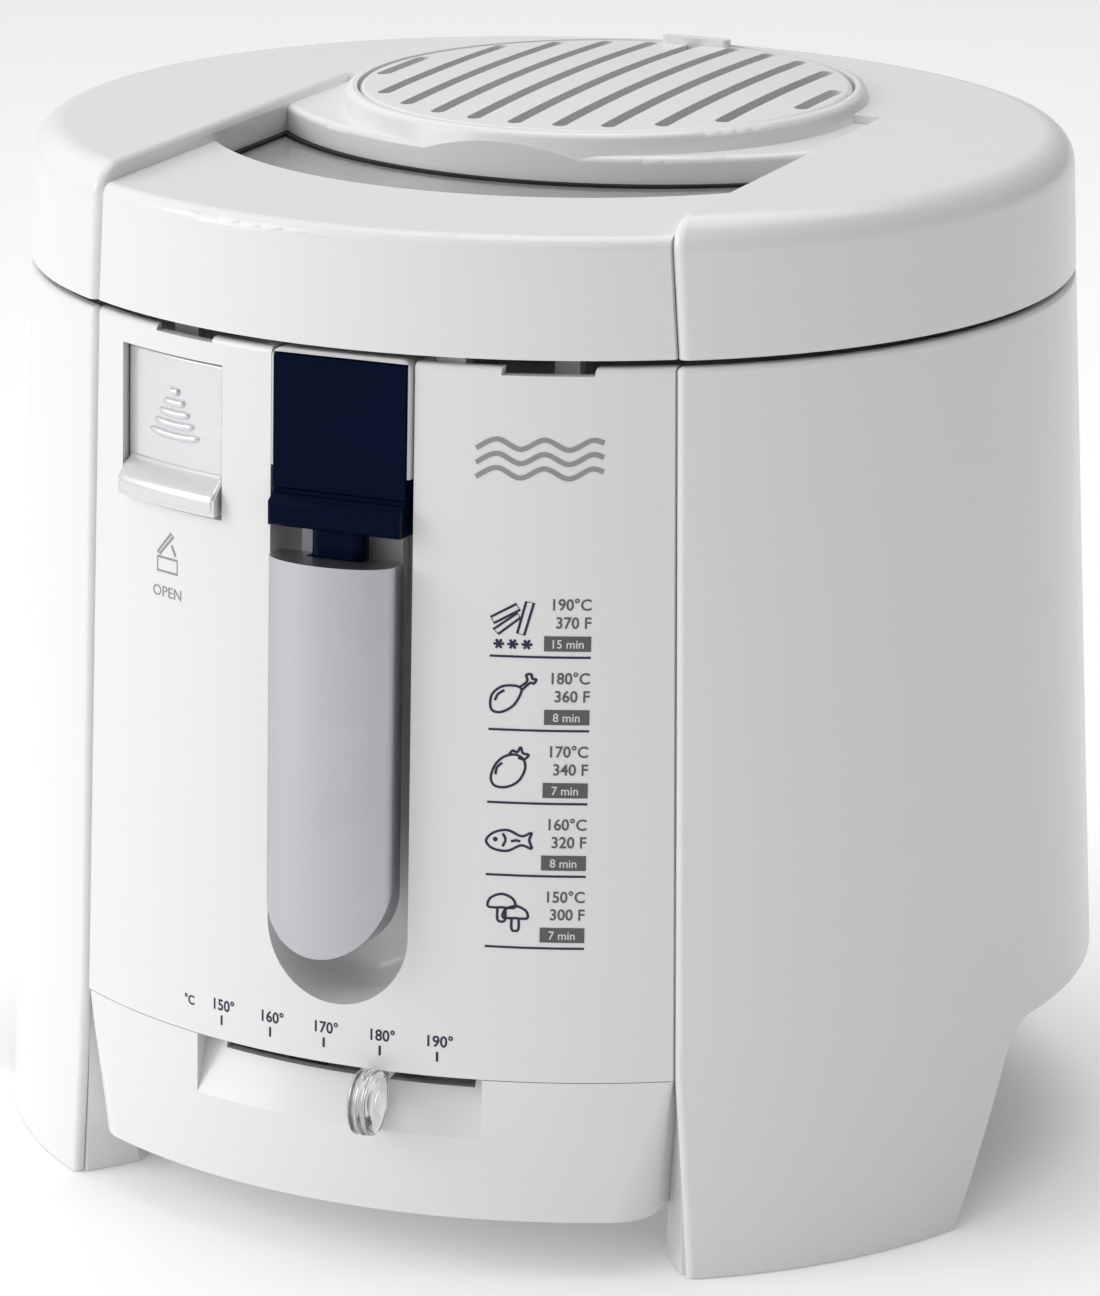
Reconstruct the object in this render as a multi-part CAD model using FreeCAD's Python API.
"""Round electric deep fryer with a folding outside handle, a sliding thermostat and a hinged lid.

Lengths are in millimetres, +Z is up and the front of the fryer faces -Y. Every piece is built around the
upright axis of the oval body and moved back by AXIS_Y when it is written, so that the origin lies at the
bottom centre of the whole fryer's box.
"""
import FreeCAD, Part
import math
import os

# ---------------------------------------------------------------- driving dimensions
HALF_WIDTH = 125.0          # oval body at the parting line: half width along X
HALF_DEPTH = 114.8          # and half depth along Y
FRONT_RADIUS = 136.1        # radius of the oval's front and back arcs
PARTING_Z = 212.0           # lower edge of the lid
LID_GAP = 1.7               # open seam between the lid and the body
BASE_FLARE = 9.9            # how much wider the body is at the ground than at the parting line, per side
WALL = 2.5                  # plastic wall
LID_TOP_Z = 243.0           # top of the lid's side wings
LIP_Z = 239.0               # top of the lid's lower front band
GLASS_Z = 234.0             # top of the window
BAND_INSET = 1.2            # how far the centre band lies behind the wings
BAND_EDGES = ((0.0, 77.9), (47.0, 74.7), (212.0, 71.2), (243.0, 69.2))    # band half width at each height
SEAM = 0.15                 # narrow seam between fixed mouldings
PANEL_BOTTOM_Z = 47.2       # lower edge of the front panel
SKIRT_BOTTOM_Z = 14.0       # lower edge of the base skirt
SKIRT_HALF = (70.0, 74.45)  # skirt half width at its lower and upper edge
SIDE_BOTTOM_Z = 44.6        # lower edge of the shell behind the front legs
LEG_BACK_Y = -49.5          # back of a front leg at the ground
LEG_BACK_SLOPE = 0.52       # and how far it leans back per unit of height
BOWL_Y = 6.0                # bowl axis behind the body axis
BOWL_RADIUS = 86.0
BOWL_FLOOR_Z = 76.0
RIM_Z = 205.5               # underside of the bowl's flange
CHANNEL_HALF = 17.6         # handle channel in the front panel
CHANNEL_END_Z = 79.0        # centre of the channel's round lower end
CHANNEL_BACK_Y = -100.0
PIVOT_Y, PIVOT_Z = -108.5, 203.0      # pin of the folding handle
HINGE_Y, HINGE_Z = 115.5, 214.5       # pin of the lid
FILTER_Y = 32.4             # axis of the round filter in the lid
FILTER_RADIUS = 59.4
BASKET_RADIUS = 76.0
BASKET_BOTTOM_Z, BASKET_TOP_Z = 88.0, 160.0
KNOB_RADIUS = 7.6
KNOB_REACH = 148.3          # thermostat axis to the middle of the knob
KNOB_Z = 41.5
KNOB_REST = 4.3             # degrees to the right of the front, at the 180 mark
BUTTON = (-62.3, -31.0, 169.0, 204.4)     # window for the lid button: low X, high X, low Z, high Z
REAR_Y = 130.0              # end of the cord inlet, the rearmost point
AXIS_Y = 2.14               # moves the body axis back, so that the whole box is centred on the origin

# the oval's arcs, from its half width, half depth and front radius
FRONT_CENTRE = FRONT_RADIUS - HALF_DEPTH
SIDE_STEP = FRONT_RADIUS - HALF_WIDTH
SIDE_CENTRE = (FRONT_CENTRE ** 2 - SIDE_STEP ** 2) / (2 * SIDE_STEP)
SIDE_RADIUS = HALF_WIDTH - SIDE_CENTRE
JOIN_ANGLE = math.atan2(SIDE_CENTRE, FRONT_CENTRE)
BODY_TOP_Z = PARTING_Z - LID_GAP
DRAFT = math.degrees(math.atan(BASE_FLARE / PARTING_Z))

V = FreeCAD.Vector
X_AXIS, Y_AXIS, Z_AXIS = V(1, 0, 0), V(0, 1, 0), V(0, 0, 1)


# ---------------------------------------------------------------- shape helpers
def box(x0, x1, y0, y1, z0, z1):
    return Part.makeBox(x1 - x0, y1 - y0, z1 - z0, V(x0, y0, z0))


def rod(x, y, z, radius, length, axis=Z_AXIS):
    return Part.makeCylinder(radius, length, V(x, y, z), axis)


def tube(x, y, z, outer, inner, length, axis=Z_AXIS):
    return rod(x, y, z, outer, length, axis).cut(rod(x, y, z, inner, length, axis))


def fuse(first, *others):
    return first.multiFuse(list(others)).removeSplitter()


def cut(shape, *tools):
    return shape.cut(list(tools))


def mirror_x(shape):
    return shape.mirror(V(0, 0, 0), X_AXIS)


def both_sides(shape):
    return [shape, mirror_x(shape)]


def flare(z):
    """How far the body's side stands outside the parting line's oval at a height."""
    return BASE_FLARE * (PARTING_Z - z) / PARTING_Z


def oval_wire(z, offset):
    """Four tangent arcs: an oval offset evenly from the parting line's oval."""
    front = FRONT_RADIUS + offset
    side = SIDE_RADIUS + offset
    join_x = front * math.sin(JOIN_ANGLE)
    join_y = front * math.cos(JOIN_ANGLE) - FRONT_CENTRE
    corners = [V(-join_x, -join_y, z), V(join_x, -join_y, z), V(join_x, join_y, z), V(-join_x, join_y, z)]
    middles = [V(0, FRONT_CENTRE - front, z), V(SIDE_CENTRE + side, 0, z),
               V(0, front - FRONT_CENTRE, z), V(-SIDE_CENTRE - side, 0, z)]
    arcs = [Part.Arc(corners[i], middles[i], corners[(i + 1) % 4]).toShape() for i in range(4)]
    return Part.Wire(arcs)


def oval(z0, z1, offset0, offset1):
    return Part.makeLoft([oval_wire(z0, offset0), oval_wire(z1, offset1)], True, True)


def body_oval(z0, z1, offset=0.0):
    """The flared body, offset outwards by an amount, between two heights."""
    return oval(z0, z1, flare(z0) + offset, flare(z1) + offset)


def prism_y(points, y0, y1):
    """Extrude a polygon of X, Z points along Y."""
    wire = Part.makePolygon([V(x, y0, z) for x, z in points] + [V(points[0][0], y0, points[0][1])])
    return Part.Face(wire).extrude(V(0, y1 - y0, 0))


def prism_x(points, x0, x1):
    """Extrude a polygon of Y, Z points along X."""
    wire = Part.makePolygon([V(x0, y, z) for y, z in points] + [V(x0, points[0][0], points[0][1])])
    return Part.Face(wire).extrude(V(x1 - x0, 0, 0))


def prism_z(points, z0, z1):
    """Extrude a polygon of X, Y points along Z."""
    wire = Part.makePolygon([V(x, y, z0) for x, y in points] + [V(points[0][0], points[0][1], z0)])
    return Part.Face(wire).extrude(V(0, 0, z1 - z0))


def band(y0, y1, clear=0.0):
    """The slab between the two groove planes, which lean in towards the top."""
    edges = [(0.0 - 20, BAND_EDGES[0][1])] + list(BAND_EDGES) + [(300.0, BAND_EDGES[-1][1] - 3.0)]
    right = [(half + clear, z) for z, half in edges]
    left = [(-half - clear, z) for z, half in reversed(edges)]
    return prism_y(right + left, y0, y1)


def stadium(half, y0, y1, top_z):
    """An upright slot shape with a round lower end, extruded along Y."""
    upper = box(-half, half, y0, y1, CHANNEL_END_Z, top_z)
    end = rod(0, y0, CHANNEL_END_Z, half, y1 - y0, Y_AXIS)
    return fuse(upper, end)


def disc_ring(radius, section, x, y, z):
    return Part.makeTorus(radius, section, V(x, y, z), Z_AXIS)


def coil_spring(radius, wire, pitch, height, x, y, z, axis=Z_AXIS):
    """A round-wire compression spring standing on a point, along an axis."""
    helix = Part.makeHelix(pitch, height, radius)
    profile = Part.Wire(Part.makeCircle(wire, V(radius, 0, 0), V(0, 1, pitch / (2 * math.pi * radius))))
    spring = Part.Wire(helix).makePipeShell([profile], True, True)
    spring.Placement = FreeCAD.Placement(V(x, y, z), FreeCAD.Rotation(Z_AXIS, axis))
    return spring


def edges_where(shape, test):
    """The edges whose middle point and length pass a test."""
    found = []
    for edge in shape.Edges:
        middle = edge.valueAt((edge.FirstParameter + edge.LastParameter) / 2)
        if test(edge, middle):
            found.append(edge)
    return found


def rounded(shape, radius, test):
    edges = edges_where(shape, test)
    if not edges:
        raise ValueError("no edge to round")
    return shape.makeFillet(radius, edges)


def upright(edge):
    low, high = edge.Vertexes[0].Point.z, edge.Vertexes[-1].Point.z
    return abs(high - low) > 0.9 * edge.Length


def screw(x, y, z, head, shank, length, axis):
    """A pan-head screw whose head sits on a point, with its shank running along an axis."""
    return fuse(rod(x, y, z, shank, length, axis),
                Part.makeCylinder(head, 1.8, V(x, y, z) - axis * 1.8, axis))


def tilt_handle(shape):
    """Lean a handle piece with the panel's draft, about the handle pin."""
    return shape.rotated(V(0, PIVOT_Y, PIVOT_Z), X_AXIS, -DRAFT)


# ---------------------------------------------------------------- housing
def outer_shell():
    """Side wings and back of the body in one moulding, standing on its two front legs."""
    shell = body_oval(0.4, BODY_TOP_Z).cut(body_oval(-5, BODY_TOP_Z + 5, -WALL))
    back_top_y = LEG_BACK_Y + LEG_BACK_SLOPE * SIDE_BOTTOM_Z
    clearing = prism_x([(LEG_BACK_Y - LEG_BACK_SLOPE * 5, -5), (back_top_y, SIDE_BOTTOM_Z),
                        (200, SIDE_BOTTOM_Z), (200, -5)], -200, 200)
    clearing = rounded(clearing, 12,
                       lambda e, m: abs(m.y - back_top_y) < 0.1 and abs(m.z - SIDE_BOTTOM_Z) < 0.1)
    shell = cut(shell, band(-200, -50), clearing)
    shell = rounded(shell, 1.5, lambda e, m: upright(e) and m.y < -80 and abs(m.x) < 79 and outermost(e, 0.0))
    shell = rounded(shell, 1.2, lambda e, m: on_outer_rim(e, m))
    inlet = rod(0, 100, 62, 7.6, 40, Y_AXIS)
    return cut(shell, inlet)


def on_outer_rim(edge, middle):
    """Whether an edge is part of the shell's outer top edge, which is the parting line's oval."""
    inside = Part.Face(oval_wire(middle.z, flare(BODY_TOP_Z) - WALL / 2))
    return abs(middle.z - BODY_TOP_Z) < 0.1 and edge.Length > 8 and not inside.isInside(middle, 0.01, True)


def outermost(edge, offset):
    """Whether an edge lies on the body's outer face, offset by an amount."""
    point = edge.valueAt((edge.FirstParameter + edge.LastParameter) / 2)
    radius = math.hypot(point.x, abs(point.y) + FRONT_CENTRE)
    return abs(radius - (FRONT_RADIUS + flare(point.z) + offset)) < 0.6


def front_panel():
    """Centre panel with the handle channel and the window for the lid button."""
    outside = body_oval(PANEL_BOTTOM_Z, BODY_TOP_Z, -BAND_INSET)
    slab = band(-200, -50, -SEAM)
    skin = cut(outside, body_oval(30, 230, -BAND_INSET - WALL)).common(slab)
    skin = rounded(skin, 1.4, lambda e, m: abs(m.z - BODY_TOP_Z) < 0.1 and outermost(e, -BAND_INSET))
    trough = stadium(CHANNEL_HALF + WALL, -140, CHANNEL_BACK_Y + WALL, BODY_TOP_Z).common(
        body_oval(PANEL_BOTTOM_Z, BODY_TOP_Z, -BAND_INSET - 1.0))
    hollow = stadium(CHANNEL_HALF, -140, CHANNEL_BACK_Y, BODY_TOP_Z + 5)
    hollow = rounded(hollow, 6, lambda e, m: abs(m.y - CHANNEL_BACK_Y) < 0.1 and m.z < BODY_TOP_Z + 1)
    hood_room = box(-CHANNEL_HALF, CHANNEL_HALF, -140, CHANNEL_BACK_Y, 180, BODY_TOP_Z + 5)
    x0, x1, z0, z1 = BUTTON
    window = box(x0, x1, -140, -80, z0, z1)
    relief = cut(body_oval(z1 - 1, z1 + 4.6, -BAND_INSET - 1.6), body_oval(z1 - 3, z1 + 9, -BAND_INSET - 6))
    relief = relief.common(box(x0, x1, -200, -50, z1 - 1, z1 + 4.6))
    notches = [box(-51, -34, -140, -80, BODY_TOP_Z - 1.2, 230),
               box(36.5, 55.8, -140, -80, BODY_TOP_Z - 1.8, 230)]
    pin_hole = rod(-30, PIVOT_Y, PIVOT_Z, 2.02, 60, X_AXIS)
    lift_slot = box(-4.5, 4.5, -101, -97, 150, 230)
    panel = fuse(skin, trough)
    return cut(panel, hollow, hood_room, window, relief, pin_hole, lift_slot, *notches)


def knob_cone(z0, z1, shrink):
    """The cone that the thermostat knob travels in front of."""
    low = FRONT_RADIUS - BAND_INSET + flare(33.0) - shrink
    high = low - 6.9
    slope = (high - low) / (PANEL_BOTTOM_Z - 33.0)
    return Part.makeCone(low + slope * (z0 - 33.0), low + slope * (z1 - 33.0), z1 - z0,
                         V(0, FRONT_CENTRE, z0))


def base_outline(z0, z1, inset):
    """Skirt in front, narrower towards the ground, joined to the round tub behind it."""
    lean = (SKIRT_HALF[1] - SKIRT_HALF[0]) / (PANEL_BOTTOM_Z - SKIRT_BOTTOM_Z)
    low, high = (SKIRT_HALF[0] - inset + lean * (z - SKIRT_BOTTOM_Z) for z in (z0, z1))
    sides = prism_y([(-low, z0), (low, z0), (high, z1), (-high, z1)], -200, -60)
    front = body_oval(z0, z1, -BAND_INSET - inset).common(sides)
    return fuse(front, rod(0, 0, z0, 93.0 - inset, z1 - z0))


def leg_block(z0, z1, inset):
    """Plan of a front leg behind the right wing."""
    plan = [(77.0 + inset, -140), (77.0 + inset, -100 + inset), (58.5 + inset, -76.5 + 0.6 * inset),
            (78.0, -53.5 - inset), (150, -53.5 - inset), (150, -140)]
    return prism_z(plan, z0, z1).common(body_oval(z0, z1, -WALL - 0.2 - inset))


def base_housing():
    """Base moulding: skirt, tub, floor and the inner halves of the front legs."""
    top = PANEL_BOTTOM_Z - 0.2
    solid = base_outline(SKIRT_BOTTOM_Z, top, 0.0)
    for side in (-1, 1):
        edge = edges_where(solid, lambda e, m: upright(e) and m.x * side > 70
                           and outermost(e, -BAND_INSET))[0]
        low, high = (1.5, 11.0) if edge.Vertexes[0].Point.z > edge.Vertexes[-1].Point.z else (11.0, 1.5)
        solid = solid.makeFillet(low, high, [edge])
    hollow = base_outline(SKIRT_BOTTOM_Z + WALL, top + 5, WALL)
    hollow = cut(hollow, *both_sides(box(52, 90, -140, -92, 10, 34)))
    backing = cut(box(-40, 38, -150, -90, 31, top + 5), knob_cone(20, 60, 2.2))
    shell = cut(solid, cut(hollow, backing))
    recess = cut(box(-37.4, 35, -160, -100, 33, top + 5), knob_cone(30, 60, 0.0))
    slot = box(-31.5, 31.5, -160, -100, 43.5, top + 5)
    shell = cut(shell, recess, slot)
    legs = both_sides(leg_block(0.4, 44.0, 0.0))
    cavities = both_sides(leg_block(-1.0, 11.9, 2.2)) + both_sides(leg_block(14.4, 50.0, 2.2))
    shell = fuse(shell, *[cut(leg, base_outline(-5, 60, 0.0)) for leg in legs])
    shell = cut(shell, *[cut(cavity, base_outline(-5, 60, 0.0)) for cavity in cavities])
    posts = [cut(rod(x, y, SKIRT_BOTTOM_Z + 1, 4.5, 58.5 - SKIRT_BOTTOM_Z), rod(x, y, 40, 1.25, 30))
             for x, y in SHIELD_SCREWS]
    shell = fuse(shell, *posts)
    access = rod(0, 6, SKIRT_BOTTOM_Z - 1, 52, 6)
    holes = [rod(x, y, 5, 1.25, 25) for x, y in PLATE_SCREWS]
    return cut(shell, access, *holes)


def bottom_plate():
    """Vented access cover under the base."""
    plate = fuse(rod(0, 6, SKIRT_BOTTOM_Z - 2.0, 60, 2.0), rod(0, 6, SKIRT_BOTTOM_Z - 0.5, 51.6, 2.5))
    vents = [box(x - 1.5, x + 1.5, 6 - 26, 6 + 26, 5, 25) for x in range(-30, 31, 10)]
    holes = [rod(x, y, 5, 1.6, 25) for x, y in PLATE_SCREWS]
    return cut(plate, *vents, *holes)


PLATE_SCREWS = ((-56.0, 6.0), (56.0, 6.0), (0.0, 62.0))
SHIELD_SCREWS = ((-60.0, 45.0), (60.0, 45.0), (-38.0, -58.0), (38.0, -58.0))
FOOT_SPOTS = ((-92.0, -69.0), (92.0, -69.0), (-52.0, 66.0), (52.0, 66.0))


def rubber_feet():
    """Four feet: two inside the front legs, two taller ones under the back of the tub."""
    front = [Part.makeCone(7.0, 8.5, 11.9, V(x, y, 0)) for x, y in FOOT_SPOTS[:2]]
    back = [Part.makeCone(8.0, 10.5, SKIRT_BOTTOM_Z, V(x, y, 0)) for x, y in FOOT_SPOTS[2:]]
    return Part.makeCompound(front + back)


def plate_screws():
    return Part.makeCompound([screw(x, y, SKIRT_BOTTOM_Z - 2.0, 3.2, 1.2, 4.4, Z_AXIS)
                              for x, y in PLATE_SCREWS])


def top_rim():
    """Deck that closes the body around the bowl."""
    plate = body_oval(RIM_Z - 2.5, RIM_Z, -WALL - SEAM)
    bowl_hole = rod(0, BOWL_Y, RIM_Z - 10, BOWL_RADIUS + 0.6, 20)
    front_edge = cut(band(-200, -50, 2.0), body_oval(190, 220, -BAND_INSET - WALL - SEAM))
    trough_half = CHANNEL_HALF + WALL + 0.2
    trough = box(-trough_half, trough_half, -200, CHANNEL_BACK_Y + WALL + 0.2, 190, 220)
    lift = box(-11.5, 11.5, -120, -70, 190, 220)
    button = box(-68, -25, -200, -88, 190, 220)
    hook = box(42, 52, -101, -91.2, 190, 220)
    lugs = [box(s - 5, s + 5, 98, 108, 190, 220) for s in (-29, 29)]
    deck = cut(plate, bowl_hole, front_edge, trough, lift, button, hook, *lugs)
    return fuse(deck, box(20.5, 27.5, -107.8, -103.5, RIM_Z - 1.0, PARTING_Z - 0.8))


# ---------------------------------------------------------------- bowl and electrics
def bowl():
    """Coated frying bowl with a flange, notched in front for the basket lift."""
    outside = rod(0, BOWL_Y, BOWL_FLOOR_Z, BOWL_RADIUS, RIM_Z + 1.4 - BOWL_FLOOR_Z)
    outside = rounded(outside, 12, lambda e, m: abs(m.z - BOWL_FLOOR_Z) < 0.1)
    inside = rod(0, BOWL_Y, BOWL_FLOOR_Z + 1.5, BOWL_RADIUS - 1.5, 200)
    inside = rounded(inside, 10.5, lambda e, m: abs(m.z - BOWL_FLOOR_Z - 1.5) < 0.1)
    flange = rod(0, BOWL_Y, RIM_Z, 92.5, 1.4)
    notch = box(-9.5, 9.5, -100, -60, 156.5, 230)
    return cut(fuse(outside, flange), inside, notch)


def heating_element():
    """Ring heater clamped under the bowl, with its two cold ends."""
    ring = disc_ring(60, 3.6, 0, BOWL_Y, BOWL_FLOOR_Z - 4.2)
    ends = [rod(x, BOWL_Y + 59, 64.5, 3.0, 8) for x in (-9, 9)]
    return fuse(ring, *ends)


def heat_shield():
    """Tin tray between the heater and the electrics."""
    tray = cut(rod(0, BOWL_Y, 59.7, 80, 9), rod(0, BOWL_Y, 60.7, 79.2, 20))
    holes = [rod(x, BOWL_Y + 59, 50, 4.0, 20) for x in (-9, 9)]
    screws = [rod(x, y, 50, 1.4, 20) for x, y in SHIELD_SCREWS]
    return cut(tray, *holes, *screws)


def shield_screws():
    return Part.makeCompound([screw(x, y, 60.7, 3.0, 1.15, 7, -Z_AXIS) for x, y in SHIELD_SCREWS])


def thermostat():
    """Adjustable thermostat hung under the shield, with its spindle down."""
    case = rounded(box(-18, 18, FRONT_CENTRE - 12, FRONT_CENTRE + 12, 48.5, 59.5), 1.5,
                   lambda e, m: upright(e))
    bulb = rod(-18, FRONT_CENTRE + 16, 56, 2.0, 36, X_AXIS)
    neck = box(-3, 3, FRONT_CENTRE + 12, FRONT_CENTRE + 16, 54.5, 57.5)
    spindle = rod(0, FRONT_CENTRE, 38.5, 3.0, 10.5)
    return fuse(case, bulb, neck, spindle)


def thermal_cutout():
    """Safety cut-out disc beside the thermostat."""
    return fuse(rod(38, 10, 52.5, 8, 7.0), box(31, 33.5, 8.5, 11.5, 46, 53), box(42.5, 45, 8.5, 11.5, 46, 53))


def terminal_block():
    """Screw terminals for the supply, on the floor of the base."""
    block = box(-21, 21, 70, 84, SKIRT_BOTTOM_Z + WALL, 32)
    wells = [rod(x, 77, 22, 3.2, 20) for x in (-13, 0, 13)]
    entries = [rod(x, 60, 20, 2.0, 20, Y_AXIS) for x in (-13, 0, 13)]
    return cut(block, *wells, *entries)


def terminal_screws():
    return Part.makeCompound([rod(x, 77, 22.2, 2.9, 5) for x in (-13, 0, 13)])


def cord_inlet():
    """Bushing in the back wall for the supply cord."""
    flange_y = HALF_DEPTH + flare(62) + 1.3
    body = fuse(rod(0, HALF_DEPTH, 62, 7.4, REAR_Y - HALF_DEPTH, Y_AXIS),
                rod(0, flange_y, 62, 11.0, 2.5, Y_AXIS))
    body = rounded(body, 1.2, lambda e, m: abs(m.y - REAR_Y) < 0.1)
    return cut(body, rod(0, 90, 62, 3.6, 60, Y_AXIS))


def inner_leads():
    """Two insulated leads from the terminal block up to the heater."""
    leads = []
    for side in (-1, 1):
        x = 13 * side
        leads.append(lead([V(x, 77, 28), V(x, 77, 38), V(x, 86, 47), V(x, 84, 57)]))
    return Part.makeCompound(leads)


def lead(points):
    path = Part.Wire([Part.LineSegment(a, b).toShape() for a, b in zip(points, points[1:])])
    profile = Part.Wire(Part.makeCircle(1.5, points[0], points[1] - points[0]))
    return path.makePipeShell([profile], True, True, 2)


# ---------------------------------------------------------------- lid hinge
def hinge_bracket():
    """Two ears fixed inside the back of the body that carry the lid's pin."""
    over_wall = BODY_TOP_Z + 0.3
    under_lid = PARTING_Z - 0.5
    profile = [(99, 196), (106, 196), (106, over_wall), (HINGE_Y + 3.0, over_wall), (HINGE_Y + 5.5, HINGE_Z),
               (HINGE_Y - 6.0, HINGE_Z), (HINGE_Y - 6.0, under_lid), (99, under_lid)]
    ears = []
    for x in (-33, 26.5):
        crown = rod(x, HINGE_Y, HINGE_Z, 5.5, 6.5, X_AXIS).common(box(-50, 50, 100, 130, over_wall, 230))
        ear = fuse(prism_x(profile, x, x + 6.5), crown)
        ears.append(cut(ear, rod(x - 1, HINGE_Y, HINGE_Z, 2.52, 9, X_AXIS)))
    foot = box(-33, 33, 99, 103, 192, 196)
    return fuse(foot, *ears)


def hinge_pin():
    return rod(-34.5, HINGE_Y, HINGE_Z, 2.5, 69, X_AXIS)


def lid_spring():
    """Torsion spring round the middle of the pin that swings the lid open."""
    return coil_spring(3.8, 0.7, 1.8, 18, -9, HINGE_Y, HINGE_Z, X_AXIS)


def hinge_knuckles():
    """Arms on the back of the lid that turn on the pin."""
    arms = []
    for x in (-25.8, 18.3):
        arm = fuse(box(x, x + 7.5, 108.6, HINGE_Y, HINGE_Z - 2.0, HINGE_Z + 5.0),
                   rod(x, HINGE_Y, HINGE_Z, 5.0, 7.5, X_AXIS))
        arms.append(cut(arm, rod(x - 1, HINGE_Y, HINGE_Z, 2.55, 10, X_AXIS)))
    return Part.makeCompound(arms)


# ---------------------------------------------------------------- lid
LID_BACK_Y = 108.5
WINDOW_ARC_Y, WINDOW_ARC_RADIUS = 22.0, 92.0          # front edge of the window
COLLAR_ARC_Y, COLLAR_ARC_RADIUS = 63.4, 94.4          # front edge of the filter's collar
LEDGE_Z = 231.6
COLLAR_TOP_Z = 241.0
RING_TOP_Z = 245.8                                    # top of the raised ring round the filter cover
DECK_STEP_Y = 33.0                                    # the lower centre band ends here


def lid_form(z0, z1, offset):
    slope = -1.2 / (LID_TOP_Z - PARTING_Z)
    return oval(z0, z1, slope * (z0 - PARTING_Z) + offset, slope * (z1 - PARTING_Z) + offset)


def window_plan(z0, z1, inset):
    """Space between the lip's arc, the collar's arc and the two groove planes."""
    front = rod(0, WINDOW_ARC_Y, z0, WINDOW_ARC_RADIUS - inset, z1 - z0)
    collar = rod(0, COLLAR_ARC_Y, z0 - 1, COLLAR_ARC_RADIUS + inset, z1 - z0 + 2)
    sides = band(-200, 20, -inset)
    return cut(front.common(sides), collar).common(box(-100, 100, -100, 10, z0, z1))


def lid_shell():
    """Lid moulding: two raised wings, lower front lip, window opening and filter collar."""
    behind = box(-200, 200, LID_BACK_Y, 200, 200, 260)
    form = rounded(lid_form(PARTING_Z, LID_TOP_Z, 0.0), 7.5, lambda e, m: abs(m.z - LID_TOP_Z) < 0.1)
    lower = rounded(lid_form(PARTING_Z, LIP_Z, -BAND_INSET), 3.0, lambda e, m: abs(m.z - LIP_Z) < 0.1)
    wings = cut(form, behind, band(-200, DECK_STEP_Y))
    wings = rounded(wings, 2.0, lambda e, m: m.z > PARTING_Z + 1 and abs(m.x) < 71.2 and m.y < 0)
    centre = lower.common(band(-200, DECK_STEP_Y))
    collar = rod(0, COLLAR_ARC_Y, LEDGE_Z, COLLAR_ARC_RADIUS, COLLAR_TOP_Z - LEDGE_Z)
    collar = rounded(collar, 1.6, lambda e, m: abs(m.z - COLLAR_TOP_Z) < 0.1)
    collar = collar.common(band(-200, DECK_STEP_Y))
    ring = Part.makeCone(64.6, 62.6, RING_TOP_Z - 239.0, V(0, FILTER_Y, 239.0))
    ring = rounded(ring, 2.0, lambda e, m: abs(m.z - RING_TOP_Z) < 0.1)
    body = fuse(wings, centre, collar, ring)
    under = lid_form(PARTING_Z - 1, LEDGE_Z - 2.6, -WALL).common(
        box(-200, 200, -200, LID_BACK_Y - WALL, 200, 260))
    roof = lid_form(PARTING_Z - 1, LID_TOP_Z - WALL, -WALL - 1.0).common(
        box(-200, 200, -200, LID_BACK_Y - WALL, 200, 260))
    roof = cut(roof, band(-200, DECK_STEP_Y, WALL), rod(0, FILTER_Y, 200, 64.0, 60))
    pocket = window_plan(LEDGE_Z, 260, 0.0)
    opening = window_plan(LEDGE_Z - 10, 260, 4.0)
    filter_well = fuse(rod(0, FILTER_Y, 200, 57.0, 60), rod(0, FILTER_Y, 242.2, FILTER_RADIUS + 0.7, 20))
    return cut(body, under, roof, pocket, opening, filter_well)


def window_gasket():
    return cut(window_plan(LEDGE_Z, GLASS_Z + 0.7, 0.1), window_plan(LEDGE_Z - 5, 260, 1.7))


def window_glass():
    return window_plan(LEDGE_Z, GLASS_Z, 1.75)


def inner_lid():
    """Pressed inner lid with the window and filter openings."""
    plate = rod(0, BOWL_Y, 213.4, 91.5, 1.2)
    skirt = tube(0, BOWL_Y, 209.5, 91.5, 90.7, 4.5)
    window = rounded(box(-52, 52, -66, -40, 200, 230), 10, lambda e, m: upright(e))
    vents = [rod(x, y, 200, 3.0, 30) for x in range(-36, 37, 12) for y in range(-6, 67, 12)
             if math.hypot(x, y - FILTER_Y) < 44]
    screws = [rod(x, y, 200, 1.0, 30) for x, y in LID_SCREWS]
    return cut(fuse(plate, skirt), window, *vents, *screws)


def lid_gasket():
    """Silicone seal between the inner lid and the bowl's flange."""
    ring = tube(0, BOWL_Y, RIM_Z + 1.9, 90.4, 86.5, 213.4 - RIM_Z - 1.9)
    return rounded(ring, 1.4, lambda e, m: abs(m.z - RIM_Z - 1.9) < 0.1)


def lid_hooks():
    """Catches under the lid's front edge that drop into the body."""
    hooks = []
    for side in (-1, 1):
        x = 47 * side
        stem = box(x - 3, x + 3, -96.7, -93.7, 200.5, LEDGE_Z - 2.6)
        nose = box(x - 3, x + 3, -93.7, -91.8, 200.5, 204)
        hooks.append(fuse(stem, nose))
    return Part.makeCompound(hooks)


def lid_spacers():
    """Screwed pillars that hold the inner lid under the outer one."""
    pillars = [rod(x, y, 214.6, 4.0, LEDGE_Z - 2.6 - 214.6) for x, y in LID_SCREWS]
    return Part.makeCompound(pillars)


LID_SCREWS = ((-64.0, -20.0), (64.0, -20.0))


def lid_screws():
    return Part.makeCompound([screw(x, y, 213.4, 3.4, 0.9, 1.19, Z_AXIS) for x, y in LID_SCREWS])


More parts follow.
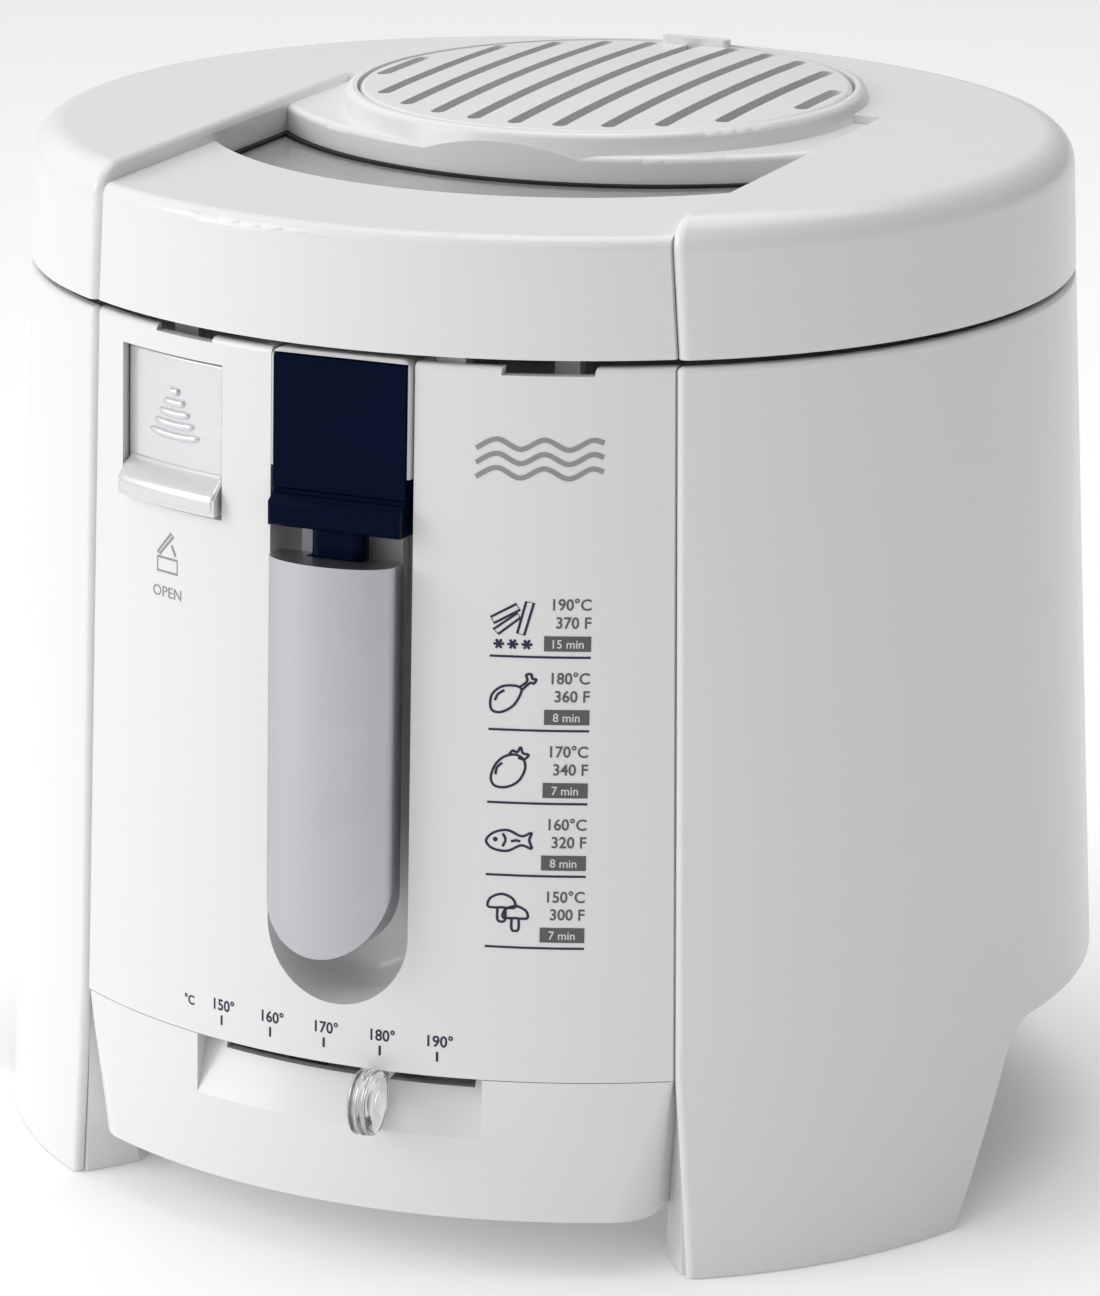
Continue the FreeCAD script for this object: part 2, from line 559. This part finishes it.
def filter_housing():
    """Drum under the slotted cover that holds the odour filter."""
    drum = tube(0, FILTER_Y, 214.8, 56.0, 54.5, 240.0 - 214.8)
    floor = rod(0, FILTER_Y, 214.8, 55.0, 1.5)
    holes = [rod(x, y, 200, 3.2, 30) for x in range(-36, 37, 12) for y in range(-6, 67, 12)
             if math.hypot(x, y - FILTER_Y) < 44]
    return cut(fuse(drum, floor), *holes)


def filter_pad():
    return rounded(rod(0, FILTER_Y, 217.0, 53.8, 16), 2.0, lambda e, m: True)


SLOT_PITCH = 10.9
SLOT_HALF_WIDTH = 1.75
SLOT_REACH = 56.0


def filter_cover():
    """Slightly domed disc with eleven slots running from front to back."""
    dome_radius = 1200.0
    disc = rod(0, FILTER_Y, 242.4, FILTER_RADIUS, 6)
    dome = Part.makeSphere(dome_radius, V(0, FILTER_Y, 247.2 - dome_radius))
    disc = disc.common(dome)
    disc = rounded(disc, 1.2, lambda e, m: m.z > 244 and e.Length > 300)
    slots = []
    for step in range(-5, 6):
        x = SLOT_PITCH * step
        half = math.sqrt(SLOT_REACH ** 2 - x ** 2) - SLOT_HALF_WIDTH
        middle = FILTER_Y + 1.0
        straight = box(x - SLOT_HALF_WIDTH, x + SLOT_HALF_WIDTH, middle - half, middle + half, 230, 260)
        slots.append(fuse(straight, rod(x, middle - half, 230, SLOT_HALF_WIDTH, 30),
                          rod(x, middle + half, 230, SLOT_HALF_WIDTH, 30)))
    tab = rounded(box(-9, 9, FILTER_Y + 55, FILTER_Y + 58.6, 244, 247.7), 1.5, lambda e, m: upright(e))
    return fuse(cut(disc, *slots), tab)


# ---------------------------------------------------------------- lid button and latch
def panel_sector(z0, z1, outer_gap, thickness, x0, x1):
    """Curved plate that follows the panel's inner face, between two X positions."""
    outer = -BAND_INSET - outer_gap
    plate = cut(body_oval(z0, z1, outer), body_oval(z0 - 5, z1 + 5, outer - thickness))
    return plate.common(box(x0, x1, -200, -50, z0, z1))


def open_button():
    """Curved push plate behind the panel, with a thumb lip through the panel's window."""
    x0, x1, z0, z1 = BUTTON
    plate = panel_sector(z0 - 4.5, z1 + 2.1, WALL + 0.5, 2.0, x0 - 3.5, x1 + 3.5)
    cap = panel_sector(z0 + 1.2, z1 - 0.7, CAP_DEPTH, 3.0, x0 + 0.6, x1 - 0.6)
    cap = rounded(cap, 0.9, lambda e, m: outermost(e, -BAND_INSET - CAP_DEPTH))
    lip = cut(body_oval(z0 + 1.2, z0 + 8.0, LIP_PROUD), body_oval(z0 - 5, z0 + 15, -BAND_INSET - WALL - 2.0))
    lip = lip.common(box(x0 + 0.6, x1 - 0.6, -200, -50, z0 + 1.2, z0 + 8.0))
    upper = edges_where(lip, lambda e, m: abs(m.z - z0 - 8.0) < 0.1 and outermost(e, LIP_PROUD))
    lip = lip.makeChamfer(3.0, 3.6, upper)
    return fuse(plate, cap, lip)


CAP_DEPTH = 2.1             # the push pad lies this far behind the panel's face
LIP_PROUD = 1.6             # and its thumb lip this far outside the wings' face


def button_spring():
    x = (BUTTON[0] + BUTTON[1]) / 2
    return coil_spring(2.4, 0.4, 1.7, 12, x, -96.2, BUTTON[2] - 17.0)


def spring_seat():
    """Shelf on the back of the panel that the button's spring stands on."""
    x = (BUTTON[0] + BUTTON[1]) / 2
    shelf = box(x - 6, x + 6, -108, -92, BUTTON[2] - 20.0, BUTTON[2] - 17.5)
    return cut(shelf, cut(box(-90, 0, -140, -80, 100, 200), body_oval(90, 210, -BAND_INSET - WALL)))


def latch_slider():
    """Bar that the button draws sideways to free the lid's catches."""
    bar = box(-58, -30, -90.5, -87.5, 194, 199.5)
    wedge = prism_z([(-58, -90.5), (-58, -91.6), (-54, -90.5)], 194, 199.5)
    return fuse(bar, wedge)


def latch_spring():
    return coil_spring(2.0, 0.35, 1.5, 8.5, -29.4, -89.0, 196.8, X_AXIS)


# ---------------------------------------------------------------- folding handle (upright, then tilted)
GRIP_HALF = 15.3
GRIP_BOTTOM_Z, GRIP_TOP_Z = 74.5, 164.8
GRIP_WIDEST_Y = -117.0
GRIP_FRONT_Y = -124.8
GRIP_SPLIT_Y = -112.5
GRIP_BACK_Y = -107.2
HEAD_HALF = 16.2
HEAD_FRONT_Y = -114.4
HEAD_BOTTOM_Z, HEAD_TOP_Z = 171.0, 209.3
HOOD_HALF = 17.1                      # light hood round the sliding head
HOOD_FRONT_Y = -114.0
HOOD_BOTTOM_Z, HOOD_TOP_Z = 184.0, 210.6


def grip_form():
    """Closed D-section bar with a round lower end."""
    left, right = V(-GRIP_HALF, GRIP_WIDEST_Y, GRIP_BOTTOM_Z), V(GRIP_HALF, GRIP_WIDEST_Y, GRIP_BOTTOM_Z)
    bulge = Part.Ellipse(V(0, GRIP_WIDEST_Y, GRIP_BOTTOM_Z), GRIP_HALF, GRIP_WIDEST_Y - GRIP_FRONT_Y)
    front = Part.ArcOfEllipse(bulge, math.pi, 2 * math.pi).toShape()
    back_left = V(-GRIP_HALF, GRIP_BACK_Y, GRIP_BOTTOM_Z)
    back_right = V(GRIP_HALF, GRIP_BACK_Y, GRIP_BOTTOM_Z)
    sides = [Part.LineSegment(right, back_right).toShape(), Part.LineSegment(back_right, back_left).toShape(),
             Part.LineSegment(back_left, left).toShape()]
    section = Part.Face(Part.Wire([front] + sides))
    bar = section.extrude(V(0, 0, GRIP_TOP_Z - GRIP_BOTTOM_Z))
    outline = fuse(box(-GRIP_HALF - 1, GRIP_HALF + 1, -140, -100, GRIP_BOTTOM_Z + GRIP_HALF, GRIP_TOP_Z),
                   rod(0, -140, GRIP_BOTTOM_Z + GRIP_HALF, GRIP_HALF, 40, Y_AXIS))
    return bar.common(outline)


def grip_pocket():
    return box(-6.9, 6.9, -116.7, -109.2, 150.0, 170.0)


def handle_grip():
    half = cut(grip_form(), box(-50, 50, GRIP_SPLIT_Y, -90, 0, 300), grip_pocket())
    return tilt_handle(half)


def handle_grip_back():
    """Inner shell of the grip, set in from the front shell's edge all round."""
    half = box(-BACK_HALF, BACK_HALF, GRIP_SPLIT_Y, GRIP_BACK_Y, GRIP_BOTTOM_Z + GRIP_HALF, GRIP_TOP_Z - 1.5)
    end = rod(0, GRIP_SPLIT_Y, GRIP_BOTTOM_Z + GRIP_HALF, BACK_HALF, GRIP_BACK_Y - GRIP_SPLIT_Y, Y_AXIS)
    half = rounded(fuse(half, end), 1.5, lambda e, m: abs(m.y - GRIP_BACK_Y) < 0.01 and m.z < GRIP_TOP_Z - 5)
    return tilt_handle(cut(half, grip_pocket(), *grip_screw_holes()))


BACK_HALF = 12.4


GRIP_SCREW_Z = (96.0, 140.0)


def grip_screw_holes():
    return [rod(0, -113, z, 1.5, 10, Y_AXIS) for z in GRIP_SCREW_Z]


def grip_screws():
    screws = [screw(0, GRIP_BACK_Y, z, 2.8, 1.2, 5.2, -Y_AXIS) for z in GRIP_SCREW_Z]
    return tilt_handle(Part.makeCompound(screws))


def handle_frame():
    """Metal-backed arm that joins the grip to the handle pin."""
    spine = box(-12.5, 12.5, GRIP_BACK_Y, GRIP_BACK_Y + 2.6, 146.5, PIVOT_Z)
    eye = rod(-HOOD_HALF, PIVOT_Y, PIVOT_Z, 3.7, 2 * HOOD_HALF, X_AXIS)
    depth = GRIP_BACK_Y + 1.2 - HOOD_FRONT_Y
    hood = box(-HOOD_HALF, HOOD_HALF, HOOD_FRONT_Y, HOOD_FRONT_Y + depth, HOOD_BOTTOM_Z, HOOD_TOP_Z)
    hood = rounded(hood, 2.4, lambda e, m: abs(e.Length - depth) < 0.01 and m.z > PIVOT_Z)
    hood = rounded(hood, 0.6, lambda e, m: abs(m.y - HOOD_FRONT_Y) < 0.01 and m.z > HOOD_TOP_Z - 2)
    inside = box(-HOOD_HALF + 0.65, HOOD_HALF - 0.65, -140, GRIP_BACK_Y, 100, HOOD_TOP_Z - 0.9)
    frame = fuse(cut(hood, inside), spine, eye)
    return tilt_handle(cut(frame, rod(-20, PIVOT_Y, PIVOT_Z, 2.05, 40, X_AXIS)))


def handle_pin():
    return rod(-19.4, PIVOT_Y, PIVOT_Z, 2.0, 38.8, X_AXIS)


def handle_release():
    """Sliding head that unlocks the folded handle, with its neck in the grip."""
    plate = box(-HEAD_HALF, HEAD_HALF, HEAD_FRONT_Y, HEAD_FRONT_Y + 1.9, HEAD_BOTTOM_Z, HEAD_TOP_Z)
    cheeks = both_sides(box(14.2, HEAD_HALF, HEAD_FRONT_Y + 1.9, -107.5, HEAD_BOTTOM_Z, 196))
    under = box(-HEAD_HALF, HEAD_HALF, HEAD_FRONT_Y, -107.5, HEAD_BOTTOM_Z, HEAD_BOTTOM_Z + 2)
    y, z = HEAD_FRONT_Y, HEAD_BOTTOM_Z
    lip = prism_x([(y + 1, z), (y - 3.4, z), (y - 3.4, z + 4.7), (y - 0.3, z + 6.9), (y + 1, z + 7.4)],
                  -HEAD_HALF, HEAD_HALF)
    lip = rounded(lip, 1.2, lambda e, m: abs(m.y - y + 3.4) < 0.01)
    crease = rod(-HEAD_HALF - 1, y - 0.25, z + 7.6, 0.75, 2 * HEAD_HALF + 2, X_AXIS)
    neck = rounded(box(-6.4, 6.4, -116.2, -109.7, 158.5, z + 1), 2.6, lambda e, m: upright(e))
    head = fuse(plate, under, lip, neck, *cheeks)
    head = rounded(head, 1.0, lambda e, m: abs(m.z - HEAD_TOP_Z) < 0.1 and abs(m.y - HEAD_FRONT_Y) < 0.1)
    return tilt_handle(cut(head, crease))


def release_spring():
    return tilt_handle(coil_spring(2.4, 0.4, 1.3, 7.4, 0, -113.0, 150.6))


# ---------------------------------------------------------------- basket lift
LIFT_TRAVEL = 43.0


def lift_guides():
    """Rails behind the channel that the lift block runs between."""
    rails = [box(x - 1.2, x + 1.2, CHANNEL_BACK_Y + WALL, -89, 150, RIM_Z - 3.2) for x in (-10.4, 10.4)]
    return Part.makeCompound(rails)


def lift_block():
    """Block and arm that carry the basket through the notch in the bowl."""
    block = box(-8.8, 8.8, -97.0, -88.5, 158.5, 163.5)
    arm = box(-6.5, 6.5, -88.5, BOWL_Y - BASKET_RADIUS - 3.5, 158.5, 162.5)
    return fuse(block, arm)


def basket_bracket():
    """Hook plate riveted to the basket that hangs on the lift arm."""
    hang = box(-6.5, 6.5, BOWL_Y - BASKET_RADIUS - 3.5, BOWL_Y - BASKET_RADIUS - 1.5, 140, 162.5)
    rivets = [rod(x, BOWL_Y - BASKET_RADIUS - 1.5, z, 1.2, 3.0, Y_AXIS)
              for x in (-3.5, 3.5) for z in (144, 154)]
    return fuse(hang, *rivets)


def basket():
    """Frying basket: its true outer shape, open at the top."""
    outside = rod(0, BOWL_Y, BASKET_BOTTOM_Z, BASKET_RADIUS - 1.5, BASKET_TOP_Z - BASKET_BOTTOM_Z)
    outside = rounded(outside, 10, lambda e, m: abs(m.z - BASKET_BOTTOM_Z) < 0.1)
    inside = rod(0, BOWL_Y, BASKET_BOTTOM_Z + 0.8, BASKET_RADIUS - 2.3, 100)
    inside = rounded(inside, 9.2, lambda e, m: abs(m.z - BASKET_BOTTOM_Z - 0.8) < 0.1)
    rim = disc_ring(BASKET_RADIUS - 2.2, 1.6, 0, BOWL_Y, BASKET_TOP_Z - 0.6)
    rivet_holes = [rod(x, -90, z, 1.2, 40, Y_AXIS) for x in (-3.5, 3.5) for z in (144, 154)]
    return cut(fuse(cut(outside, inside), rim), *rivet_holes)


# ---------------------------------------------------------------- thermostat slider
def turn_knob(shape):
    return shape.rotated(V(0, FRONT_CENTRE, 0), Z_AXIS, KNOB_REST)


def slider_arm():
    """Flat lever from the thermostat spindle out through the slot."""
    reach = KNOB_REACH - KNOB_RADIUS - 6.0
    bar = box(-4, 4, FRONT_CENTRE - reach, FRONT_CENTRE, 44.2, 46.0)
    hub = rod(0, FRONT_CENTRE, 42.5, 7, 5.0)
    return turn_knob(cut(fuse(bar, hub), rod(0, FRONT_CENTRE, 30, 3.05, 30)))


def slider_knob():
    """Clear ribbed wheel on a stem, held between finger and thumb."""
    y = FRONT_CENTRE - KNOB_REACH
    wheel = rod(-2.8, y, KNOB_Z, KNOB_RADIUS, 5.6, X_AXIS)
    wheel = rounded(wheel, 1.2, lambda e, m: abs(abs(m.x) - 2.8) < 0.1)
    stem = box(-2.2, 2.2, y, y + KNOB_RADIUS + 6.0 + 8.0, 46.0, 46.9)
    stalk = box(-2.2, 2.2, y, y + KNOB_RADIUS + 4.5, 44.2, 46.0)
    return turn_knob(fuse(wheel, stem, stalk))


# ---------------------------------------------------------------- writing
PIECES = (
    outer_shell, front_panel, base_housing, bottom_plate, rubber_feet, plate_screws, top_rim,
    bowl, heating_element, heat_shield, shield_screws, thermostat, thermal_cutout, terminal_block,
    terminal_screws, cord_inlet, inner_leads, hinge_bracket, hinge_pin, lid_spring, hinge_knuckles,
    lid_shell, window_gasket, window_glass, inner_lid, lid_gasket, lid_hooks, lid_spacers, lid_screws,
    filter_housing, filter_pad, filter_cover, open_button, button_spring, spring_seat, latch_slider,
    latch_spring, handle_grip, handle_grip_back, grip_screws, handle_frame, handle_pin, handle_release,
    release_spring, lift_guides, lift_block, basket_bracket, basket, slider_arm, slider_knob,
)


def main():
    os.makedirs("parts", exist_ok=True)
    whole = FreeCAD.BoundBox()
    for make in PIECES:
        shape = make()
        shape.translate(V(0, AXIS_Y, 0))
        whole.add(shape.BoundBox)
        shape.exportStep("parts/" + make.__name__ + ".step")
        print(make.__name__, "solids", len(shape.Solids), "valid", shape.isValid())
    print("box", whole)


main()
